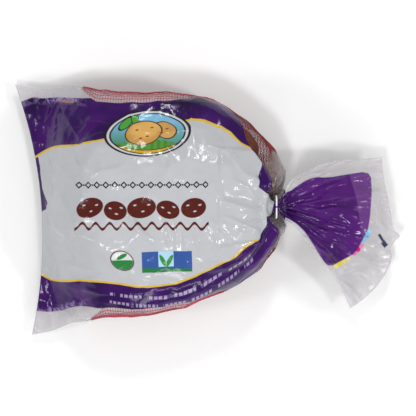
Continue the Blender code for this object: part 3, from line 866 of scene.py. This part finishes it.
def badge(n, x, y, colour):
    """A plain oval badge: a potato with two leaves over a gold arc, and no lettering."""
    oval = n.ellipse(x, y, (-136, 79), (46.5, 25), 4.6)
    rise = n.sub(y, 79.0)
    field = n.mix(n.spread(rise, -17, 14), srgb(58, 122, 60), srgb(120, 178, 208))
    soil = n.ellipse(x, y, (-136, 57), (44, 15), 2)
    field = n.paint(field, soil, srgb(84, 140, 52), 0.8)
    rays = n.math("SINE", n.mul(x, 0.9))
    field = n.mix(n.mul(n.both(n.soft(soil), n.soft(rays, 1.6)), 0.5), field, srgb(40, 104, 48))
    potato_far = n.ellipse(x, y, (-118, 83), (12.5, 8.6), -14)
    potato_near = n.ellipse(x, y, (-140, 80), (19, 12.5), 12)
    leaf_a = n.ellipse(x, y, (-159, 90), (8.5, 3.6), 38)
    leaf_b = n.ellipse(x, y, (-149, 95), (8.5, 3.4), 100)
    for leaf in (leaf_a, leaf_b):
        field = n.paint(field, n.add(leaf, 0.9), BLACK)
        field = n.paint(field, leaf, srgb(74, 150, 60))
    for blob, tone in ((potato_far, srgb(196, 150, 84)), (potato_near, srgb(214, 168, 92))):
        field = n.paint(field, n.add(blob, 1.0), srgb(70, 36, 20))
        field = n.paint(field, blob, tone)
    shade = n.ellipse(x, y, (-137, 84), (17, 9), 12)
    shade = n.both(n.soft(potato_near), n.sub(1.0, n.soft(shade, 5)))
    field = n.mix(n.mul(shade, 0.45), field, srgb(150, 96, 44))
    for cx, cy in ((-147, 83), (-136, 76), (-131, 86), (-143, 74), (-115, 84), (-121, 79)):
        eye = n.ellipse(x, y, (cx, cy), (1.7, 0.8), 12)
        field = n.paint(field, eye, srgb(108, 62, 30))
    arc = n.absolute(n.ellipse(x, y, (-136, 92), (58, 33), 4.6))
    arc = n.both(n.sub(1.7, arc), n.sub(72.0, y))
    field = n.paint(field, n.add(arc, 0.7), BLACK)
    field = n.paint(field, arc, GOLD)
    colour = n.paint(colour, oval, BLACK)
    colour = n.paint(colour, n.sub(oval, 1.5), srgb(196, 196, 200))
    colour = n.paint(colour, n.sub(oval, 2.9), BLACK)
    return n.paint(colour, n.sub(oval, 3.9), field)


def potato_row(n, x, y, colour):
    """A row of plain potato shapes where a title would be."""
    for cx, cy, half, turn in (
        (-198, -1, (15, 10.5), 18),
        (-170, -4, (12.5, 10), -14),
        (-142, -1, (15.5, 11), 10),
        (-114, -3, (12.5, 9.5), -20),
        (-87, -1, (13.5, 10.5), 14),
    ):
        colour = n.paint(colour, n.ellipse(x, y, (cx, cy), half, turn), BROWN)
        for ex, ey in ((-0.45, 0.25), (0.1, -0.35), (0.5, 0.3)):
            spot = n.ellipse(x, y, (cx + ex * half[0], cy + ey * half[1]), (1.7, 0.8), turn)
            colour = n.paint(colour, spot, WHITE_INK)
    return colour


def rules(n, x, y, colour):
    """A row of diamonds and dots, and a wavy line, where smaller lines of words would be."""
    step = n.sub(n.math("MODULO", n.add(x, 300.0), 9.6), 4.8)
    lift = n.sub(y, n.add(23.5, n.mul(n.add(x, 140.0), 0.004)))
    diamond = n.sub(3.9, n.add(n.absolute(step), n.absolute(lift)))
    hollow = n.sub(n.add(n.absolute(step), n.absolute(lift)), 2.0)
    side = n.sub(n.absolute(step), 4.8)
    dot = n.sub(0.95, n.math("SQRT", n.add(n.mul(side, side), n.mul(lift, lift))))
    marks = n.either(n.both(diamond, hollow), dot)
    marks = n.both(marks, n.block(x, y, (-142, 23), (70.5, 9)))
    colour = n.paint(colour, marks, BLACK)
    wave = n.mul(n.math("SINE", n.mul(x, 0.42)), 3.2)
    line = n.sub(1.15, n.mul(n.absolute(n.sub(n.sub(y, -20.5), wave)), 0.72))
    line = n.both(line, n.block(x, y, (-142, -20.5), (71, 9)))
    return n.paint(colour, line, BROWN)


def seals(n, x, y, colour):
    """A plain leaf seal and a plain two-tone panel."""
    disc = n.ellipse(x, y, (-162.5, -57.5), (13.4, 10.6), -32)
    colour = n.paint(colour, disc, srgb(72, 34, 28))
    colour = n.paint(colour, n.sub(disc, 1.0), srgb(206, 210, 208))
    colour = n.paint(colour, n.both(n.sub(disc, 1.0), n.sub(-57.0, y)), srgb(36, 122, 58))
    leaf = n.ellipse(x, y, (-163, -53), (6.2, 2.3), 28)
    colour = n.paint(colour, leaf, srgb(36, 122, 58))
    panel = n.block(x, y, (-115, -59), (26.5, 11.5), 2)
    colour = n.paint(colour, panel, srgb(52, 84, 152))
    middle = n.block(x, y, (-116, -56), (8.0, 8.4), 2)
    colour = n.paint(colour, middle, srgb(168, 206, 226))
    foot = n.both(panel, n.sub(-66.2, y))
    colour = n.paint(colour, foot, srgb(38, 116, 60))
    for lx, turn in ((-119, 118), (-112.5, 62)):
        leaf = n.ellipse(x, y, (lx, -58.5), (7.6, 2.2), turn)
        colour = n.paint(colour, leaf, srgb(52, 134, 62))
    return colour


def dashes(n, x, y, gold_bottom, white, colour):
    """Two broken pale lines along the lower band."""
    below = n.both(gold_bottom, n.mul(white, -1.0))
    for middle, half, period, fill, shift in ((11.5, 1.3, 5.3, 1.8, 0.0), (18.5, 1.1, 4.6, 1.5, 3.0)):
        step = n.absolute(n.sub(n.math("MODULO", n.add(x, 400.0 + shift), period), period / 2))
        dash = n.both(n.sub(half, n.absolute(n.sub(below, middle))), n.sub(fill, step))
        dash = n.both(dash, n.both(n.sub(x, -176.0), n.sub(-22.0, x)))
        dash = n.both(dash, n.sub(-20.0, y))
        group = n.absolute(n.sub(n.math("MODULO", n.add(x, 400.0 + 4 * shift), 29.0), 14.5))
        dash = n.both(dash, n.sub(11.5, group))
        colour = n.mix(n.mul(n.soft(dash, 0.7), 0.72), colour, srgb(176, 160, 196))
    return colour


def printed_film():
    """The front film: purple bands, the pale panel and what is printed on it, and the clear margins."""
    n = Nodes("printed_film")
    x, y, _ = n.split(n.attribute("plan", "Vector"))
    white, ink = n.attribute("white"), n.attribute("ink")
    place = n.place()
    blotch = n.noise(place, 26, 3, 0.55, 0.6)
    purple = n.mix(n.spread(blotch, 0.42, 0.72), PURPLE, PURPLE_LIGHT)
    purple = n.mix(n.spread(n.noise(place, 14, 2), 0.55, 0.75), purple, PURPLE_DEEP)
    tail = n.attribute("in_tail")
    lifted = n.mix(n.spread(n.noise(place, 18, 3), 0.3, 0.7), srgb(66, 16, 98), srgb(86, 28, 118))
    purple = n.mix(n.mul(tail, 0.9), purple, lifted)
    # Painted shade: the tail's purple is darkened near the clip and in streaks that fan out from it, for the
    # shade in the gathered folds.
    turn, reach = n.attribute("turn"), n.attribute("reach")
    gathered = n.spread(reach, 10.0, 34.0, 0.85, 0.0)
    shade_stripes = n.spread(n.noise(n.join(turn, n.mul(reach, 0.012)), 5.0, 2), 0.35, 0.6)
    deep = n.mul(n.either(n.mul(gathered, 0.7), n.mul(gathered, shade_stripes)), tail)
    purple = n.mix(deep, purple, PURPLE_DEEP)
    # Painted shade along long radial streaks, where the spread end's folds lie in shade.
    long_fold_shade = n.noise(n.join(turn, n.mul(reach, 0.006)), 3.2, 2, 0.5, 0.3)
    purple = n.mix(n.mul(n.mul(n.spread(long_fold_shade, 0.50, 0.66), 0.5), tail), purple, PURPLE_DEEP)
    single = n.both(n.soft(n.attribute("single"), 0.8), tail)
    purple = n.mix(n.mul(single, 0.75), purple, srgb(114, 66, 138))
    colour = dashes(n, x, y, n.attribute("gold_bottom"), white, purple)
    milk = n.mix(n.noise(place, 20, 3), srgb(177, 180, 184), srgb(187, 188, 192))
    panel = rules(n, x, y, milk)
    panel = potato_row(n, x, y, panel)
    panel = seals(n, x, y, panel)
    colour = n.mix(n.both(n.soft(white), n.sub(1.0, tail)), colour, panel)
    gold = n.sub(1.15, n.both(n.attribute("gold_top"), n.attribute("gold_bottom")))
    gold = n.both(gold, n.sub(6.0, n.absolute(white)))
    gold = n.both(n.soft(gold), n.sub(1.0, tail))
    shine = n.mix(n.noise(place, 120, 2), GOLD, srgb(222, 190, 70))
    colour = n.mix(gold, colour, shine)
    sliver = n.ellipse(x, y, (-221, 111), (9, 1.4), -6)
    colour = n.mix(n.mul(n.soft(sliver), 0.8), colour, srgb(150, 118, 50))
    fringe = n.both(n.soft(n.sub(5.0, ink), 5.0), n.soft(n.sub(-206.0, x), 14.0))
    fringe = n.mul(fringe, n.spread(n.noise(place, 150, 3, 0.6, 1.0), 0.42, 0.6))
    colour = n.mix(n.mul(fringe, n.sub(1.0, tail)), colour, srgb(150, 128, 178))
    colour = badge(n, x, y, colour)
    inked = n.soft(ink, 0.8)
    clear = n.mix(n.noise(place, 40, 3), srgb(204, 201, 206), srgb(220, 218, 221))
    base, spots = printers_marks(n, x, y, clear)
    colour = n.mix(inked, base, colour)
    haze = n.spread(n.noise(place, 20, 2, 0.5, 0.5), 0.3, 0.75, 0.32, 0.46)
    seal = n.sub(2.2, n.absolute(n.sub(n.attribute("from_seam"), 4.0)))
    haze = n.add(haze, n.mul(n.soft(seal, 1.0), 0.12))
    haze = n.either(haze, n.mul(n.attribute("hem"), 0.72))
    opacity = n.blend(inked, n.either(haze, n.mul(spots, 0.9)), n.blend(single, 1.0, 0.86))
    n.put(n.shader.inputs["Alpha"], opacity)
    n.shader.inputs["IOR"].default_value = PRINT_IOR
    rough = n.spread(n.noise(place, 70, 3), 0.3, 0.7, 0.12, 0.21)
    return n.finish(colour, rough, film_bump(n, place))


def printers_marks(n, x, y, colour):
    """Ink test dots and a cut mark, on the clear end of the bag."""
    spots = 0.0
    for cx, cy, size, tone in (
        (64, -62.5, 2.9, srgb(224, 214, 120)),
        (68, -60, 2.9, srgb(226, 206, 40)),
        (73, -57.5, 2.7, srgb(220, 208, 110)),
        (77.5, -54.5, 2.3, srgb(222, 214, 150)),
        (83.5, -49, 2.7, srgb(226, 110, 165)),
        (87.5, -45, 2.9, srgb(216, 20, 120)),
        (91, -41, 2.7, srgb(226, 130, 175)),
        (93, -35, 2.7, srgb(120, 190, 226)),
        (97, -30, 2.9, srgb(90, 180, 224)),
        (100.5, -26, 2.4, srgb(150, 205, 230)),
    ):
        dot = n.soft(n.ellipse(x, y, (cx, cy), (size, size)), 0.8)
        colour = n.mix(dot, colour, tone)
        spots = n.either(dot, spots)
    for middle, half, turn in (((112.5, -33), (4.6, 1.5), -58), ((116, -39.5), (3.2, 2.6), -50)):
        bar = n.soft(n.block(x, y, middle, half, turn), 0.8)
        colour = n.mix(bar, colour, srgb(52, 62, 88))
        spots = n.either(bar, spots)
    return colour, spots


def near_neck(n, place, starts, full, fades, ends):
    """Where the bag gets painted shade near the neck: 1 between places along it, in metres from the clip."""
    along = n.sub(n.split(place)[0], CLIP_X)
    return n.both(n.spread(along, starts, full), n.spread(along, fades, ends, 1.0, 0.0))


def clear_film():
    """The unprinted film of the back, with painted shade near the clip."""
    n = Nodes("clear_film")
    place = n.place()
    colour = n.mix(n.noise(place, 40, 3), srgb(196, 192, 194), srgb(214, 211, 213))
    haze = n.spread(n.noise(place, 20, 2, 0.5, 0.6), 0.3, 0.75, 0.22, 0.38)
    # Painted shade: the film is darkened and made a little more opaque near the clip, where its layers bunch
    # up.
    painted_neck_shade = near_neck(n, place, -0.080, -0.055, -0.004, 0.006)
    painted_neck_shade = n.mul(painted_neck_shade, n.spread(n.noise(place, 90, 4, 0.6), 0.3, 0.6, 0.6, 1.0))
    colour = n.mix(painted_neck_shade, colour, srgb(116, 92, 86))
    n.put(n.shader.inputs["Alpha"], n.add(haze, n.mul(painted_neck_shade, 0.15)))
    n.shader.inputs["IOR"].default_value = CLEAR_IOR
    rough = n.spread(n.noise(place, 70, 3), 0.3, 0.7, 0.14, 0.25)
    return n.finish(colour, rough, film_bump(n, place, 1.2))


def net_cord():
    n = Nodes("net")
    place = n.place()
    colour = n.mix(n.noise(place, 160, 3), srgb(166, 38, 60), srgb(204, 78, 100))
    # Painted shade: the cords are darker near the neck.
    colour = n.mix(near_neck(n, place, -0.075, -0.040, 0.02, 0.04), colour, srgb(132, 30, 38))
    rough = n.spread(n.noise(place, 300, 2), 0.3, 0.7, 0.42, 0.62)
    return n.finish(colour, rough, n.bump(n.noise(place, 900, 2), 0.0003, 0.6))


def potato_skin():
    n = Nodes("potato_skin")
    place = n.place()
    tone = n.mix(n.noise(place, 35, 4, 0.6), srgb(146, 106, 70), srgb(104, 70, 46))
    russet = n.noise(place, 420, 4, 0.7, 1.2)
    tone = n.mix(n.mul(n.spread(russet, 0.48, 0.62), 0.55), tone, srgb(96, 66, 44))
    soil = n.spread(n.noise(place, 90, 5, 0.65), 0.58, 0.75)
    tone = n.mix(n.mul(soil, 0.5), tone, srgb(76, 52, 36))
    lenticel = n.sub(0.16, n.voronoi(place, 170))
    tone = n.mix(n.mul(n.spread(lenticel, 0.0, 0.1), 0.6), tone, srgb(196, 160, 118))
    first = n.bump(russet, 0.0006, 0.7)
    lumps = n.bump(n.noise(place, 60, 3), 0.0025, 0.5, first)
    return n.finish(tone, n.spread(russet, 0.3, 0.7, 0.62, 0.88), lumps)


def clip_plastic():
    n = Nodes("clip")
    place = n.place()
    colour = n.mix(n.noise(place, 120, 3), srgb(226, 226, 224), srgb(240, 240, 238))
    rough = n.spread(n.noise(place, 400, 2), 0.3, 0.7, 0.34, 0.5)
    return n.finish(colour, rough, n.bump(n.noise(place, 1500, 2), 0.0001, 0.5))


def floor_paper():
    n = Nodes("floor_paper")
    place = n.place()
    tone = n.mix(n.noise(place, 3, 2), (0.93, 0.93, 0.93, 1), (0.95, 0.95, 0.95, 1))
    n.put(n.shader.inputs["Base Color"], tone)
    n.shader.inputs["Roughness"].default_value = 0.9
    n.shader.inputs["Specular IOR Level"].default_value = 0.1
    return n.material


# Pieces.


def film_attributes(base, angle):
    """The print's fields, with the purple strip along the base seam and the way in from the side seams."""
    plan = base / MM
    fields = print_fields(base)
    fields["plan"] = plan
    strip = np.interp(plan[..., 1], (-5, -2, 4, 13, 30, 60, 70), (0, 6, 9, 3.5, 2.5, 3.5, 5))
    strip *= 1 + 0.35 * noise3(plan / 7, 71)
    fields["white"] = np.minimum(fields["white"], (base[..., 0] - base[:1, :, 0]) / MM - strip)
    seam = np.minimum(np.abs(angle - angle[:, :1]), np.abs(angle[:, -1:] - angle))
    fields["from_seam"] = seam * SEAM_WIDTH / math.pi / MM
    return fields


def make_front(material):
    """The printed film, whose hem runs on under the net."""
    share = np.linspace(0, 1, FRONT_COLUMNS)
    base, normal, grid, angle = film_grid(0.0, MOUTH, share, True, FRONT_STEP)
    past = np.maximum(seam_angle(grid, 1) - angle, angle - math.pi + seam_angle(grid, 2))
    base -= normal * (UNDER_NEXT_SHEET * ramp(past, 0.0, 0.03))[..., None]
    shape = fold_film(base, normal, grid, angle, True)
    fields = film_attributes(base, angle)
    fields["ink"] = np.minimum(fields["ink"], -past * 60 + np.where(past > 0, 0.0, 3.0))
    under = np.maximum(np.radians(smooth_curve(HEM, grid)), 0.02)
    fields["hem"] = np.clip(1.6 - 1.4 * past / under, 0, 1) * (past > 0)
    obj = grid_mesh("front_film_sheet", shape, fields)
    obj.data.materials.append(material)
    thicken(obj)
    return piece(obj, "printed_film", "front_film")


def make_clear(name, node, first, last, material):
    """One clear panel of the back, between two stations."""
    share = np.linspace(0, 1, CLEAR_COLUMNS)
    base, normal, grid, angle = film_grid(first, last, share, False, CLEAR_STEP, CLEAR_DEPTH)
    shape = fold_film(base, normal, grid, angle, False)
    obj = grid_mesh(name, shape)
    obj.data.materials.append(material)
    thicken(obj)
    return piece(obj, "clear_film", node)


def make_net(material):
    """The net: two families of thin cords that cross at knots, in wider cells where it is pulled up."""
    share = np.interp(np.linspace(0, 1, NET_COLUMNS), *NET_SPREAD)
    base, normal, grid, angle = film_grid(BASE_PANEL_END, NET_TUCK, share, False, NET_STEP, NET_DEPTH)
    base -= normal * (UNDER_NEXT_SHEET * ramp(grid, NET_END - 0.01, NET_END + 0.005))[..., None]
    shape = fold_film(base, normal, grid, angle, False, NET_OFF_LOAD)
    rows, columns = shape.shape[:2]
    points, faces = [], []
    normal = normals_of(shape)
    for line in range(0, columns, 2):
        ribbon(points, faces, shape[:, line], normal[:, line], CORD_RADIUS_ALONG)
    for line in range(0, rows, 2):
        ribbon(points, faces, shape[line], normal[line], CORD_RADIUS_ACROSS)
    obj = mesh_object("back_net_cords", to_model(np.array(points)), faces)
    obj.data.materials.append(material)
    return piece(obj, "net", "back_net")


def ribbon(points, faces, line, normal, radius):
    """A three-sided cord along a line of points."""
    along = np.gradient(line, axis=0)
    along /= np.maximum(np.linalg.norm(along, axis=1, keepdims=True), 1e-12)
    side = np.cross(along, normal)
    side /= np.maximum(np.linalg.norm(side, axis=1, keepdims=True), 1e-12)
    up = np.cross(side, along)
    first = len(points)
    count = len(line)
    for turn in (90, 210, 330):
        a = math.radians(turn)
        ring = line + (side * math.cos(a) + up * math.sin(a)) * radius
        ring[:, 2] = np.maximum(ring[:, 2], LOWEST_CORD)
        points.extend(ring)
    for k in range(3):
        one, two = first + k * count, first + (k + 1) % 3 * count
        faces.extend([one + i, one + i + 1, two + i + 1, two + i] for i in range(count - 1))
    faces.append([first, first + count, first + 2 * count])
    end = count - 1
    faces.append([first + 2 * count + end, first + count + end, first + end])


def packed_copy(node_name, name):
    """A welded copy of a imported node's mesh."""
    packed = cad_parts[node_name].data
    faces = [tuple(p.vertices) for p in packed.polygons]
    obj = mesh_object(name, [tuple(v.co) for v in packed.vertices], faces)
    weld = obj.modifiers.new("weld", "WELD")
    weld.merge_threshold = WELD_WITHIN
    return obj


def make_potatoes(material):
    """The potatoes: each packed one, smoothed and then shaped."""
    made = []
    for name in POTATO_NAMES:
        low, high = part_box(name)
        obj = packed_copy(name, name + "_skin")
        smooth = obj.modifiers.new("smooth", "SUBSURF")
        smooth.levels = smooth.render_levels = 2
        apply_modifiers(obj)
        shape_potato(obj, np.array((low + high) / 2), int(name[-2:]))
        obj.data.shade_smooth()
        obj.data.materials.append(material)
        made.append(piece(obj, "potato_skin", name))
    return made


def shape_potato(obj, middle, seed):
    """Uneven sides and shallow eyes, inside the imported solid's place."""
    count = len(obj.data.vertices)
    co = np.zeros(count * 3)
    obj.data.vertices.foreach_get("co", co)
    co = co.reshape(-1, 3)
    out = co - middle
    reach = np.linalg.norm(out, axis=1, keepdims=True)
    way = out / reach
    lump = billow(co / MM / 34 + seed * 7.3, 60 + seed, 2)
    random = np.random.default_rng(seed)
    eyes = random.normal(size=(9, 3))
    eyes /= np.linalg.norm(eyes, axis=1, keepdims=True)
    pits = np.zeros(count)
    for eye in eyes:
        near = np.arccos(np.clip(way @ eye, -1, 1))
        pits += np.exp(-((near / 0.10) ** 2))
    move = 0.5 + 1.0 * lump - 1.3 * pits
    co = co + way * (move * MM)[:, None]
    obj.data.vertices.foreach_set("co", co.reshape(-1))
    obj.data.update()


def apply_modifiers(obj):
    graph = bpy.context.evaluated_depsgraph_get()
    mesh = bpy.data.meshes.new_from_object(obj.evaluated_get(graph))
    obj.modifiers.clear()
    obj.data = mesh


def make_clip(material):
    """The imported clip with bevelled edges."""
    obj = packed_copy("closure_clip", "closure_clip_plate")
    bevel = obj.modifiers.new("edge", "BEVEL")
    bevel.width = CLIP_BEVEL
    bevel.segments = 2
    bevel.limit_method = "ANGLE"
    bevel.angle_limit = math.radians(40)
    obj.data.shade_flat()
    obj.data.materials.append(material)
    return piece(obj, "clip", "closure_clip")


def piece(obj, slot, *nodes):
    """The object as a piece of the part: what it rides on and the imported nodes that it stands for, which it
    hides; its slot is not used.
    """
    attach(obj, "root")
    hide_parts(*nodes)
    return obj


# Stage.
FLOOR_HALF = 3.0
FLOOR_HEIGHT = -0.0004
# Each lamp's name, place, width, power in watts and, for the long one, its other width.
LIGHTS = (
    ("key", (-0.3, -0.85, 2.0), 0.30, 13),
    ("back", (0.15, 1.6, 1.5), 0.34, 13),
    ("fill", (1.5, -0.4, 1.5), 0.26, 12),
    ("side", (-1.7, -0.3, 1.2), 0.30, 7),
    ("strip", (0.3, -1.7, 0.9), 0.9, 6, 0.14),
)
LIGHTS_AIM = (0, 0, 0.05)
WORLD_STRENGTH = 0.40
# The camera: its lens in mm, and its place from the clip and above the bag's middle height.
LENS = 600
CAMERA_BACK = 0.0719
CAMERA_ASIDE = 0.0011
CAMERA_RISE = 7.35


def make_floor():
    side, low = FLOOR_HALF, FLOOR_HEIGHT
    points = [(-side, -side, low), (side, -side, low), (side, side, low), (-side, side, low)]
    floor = mesh_object("floor", points, [(0, 1, 2, 3)])
    floor.data.materials.append(floor_paper())


def area_light(name, place, size, power, size_y=None):
    """A soft lamp that points at the bag's middle."""
    data = bpy.data.lights.new(name, "AREA")
    data.energy = power
    data.size = size
    if size_y:
        data.shape = "RECTANGLE"
        data.size_y = size_y
    lamp = linked(name, data)
    lamp.location = place
    lamp.rotation_mode = "QUATERNION"
    way = Vector(LIGHTS_AIM) - Vector(place)
    lamp.rotation_quaternion = way.to_track_quat("-Z", "Y")


def make_lights():
    for lamp in LIGHTS:
        area_light(*lamp)
    world = bpy.data.worlds.new("studio")
    world.use_nodes = True
    shade = world.node_tree.nodes["Background"]
    shade.inputs["Color"].default_value = (1.0, 1.0, 1.0, 1.0)
    shade.inputs["Strength"].default_value = WORLD_STRENGTH
    bpy.context.scene.world = world


def make_camera():
    """A long lens straight above the bag."""
    data = bpy.data.cameras.new("camera")
    data.lens = LENS
    data.sensor_width = 36
    data.clip_end = 50
    camera = linked("camera", data)
    camera.location = (CLIP_X - CAMERA_BACK, CLIP_Y - CAMERA_ASIDE, BODY_HEIGHT / 2 + CAMERA_RISE)
    bpy.context.scene.camera = camera


def main():
    global load_tree
    load_tree = make_load_tree(make_potatoes(potato_skin()))
    bpy.context.scene.view_settings.view_transform = "Standard"
    film, clear = printed_film(), clear_film()
    front = make_front(film)
    base = make_clear("back_film_base_sheet", "back_film_base", 0.0, BASE_PANEL_END, clear)
    neck = make_clear("back_film_neck_sheet", "back_film_neck", NET_END, MOUTH, clear)
    make_net(net_cord())
    make_clip(clip_plastic())
    make_floor()
    make_lights()
    make_camera()


main()
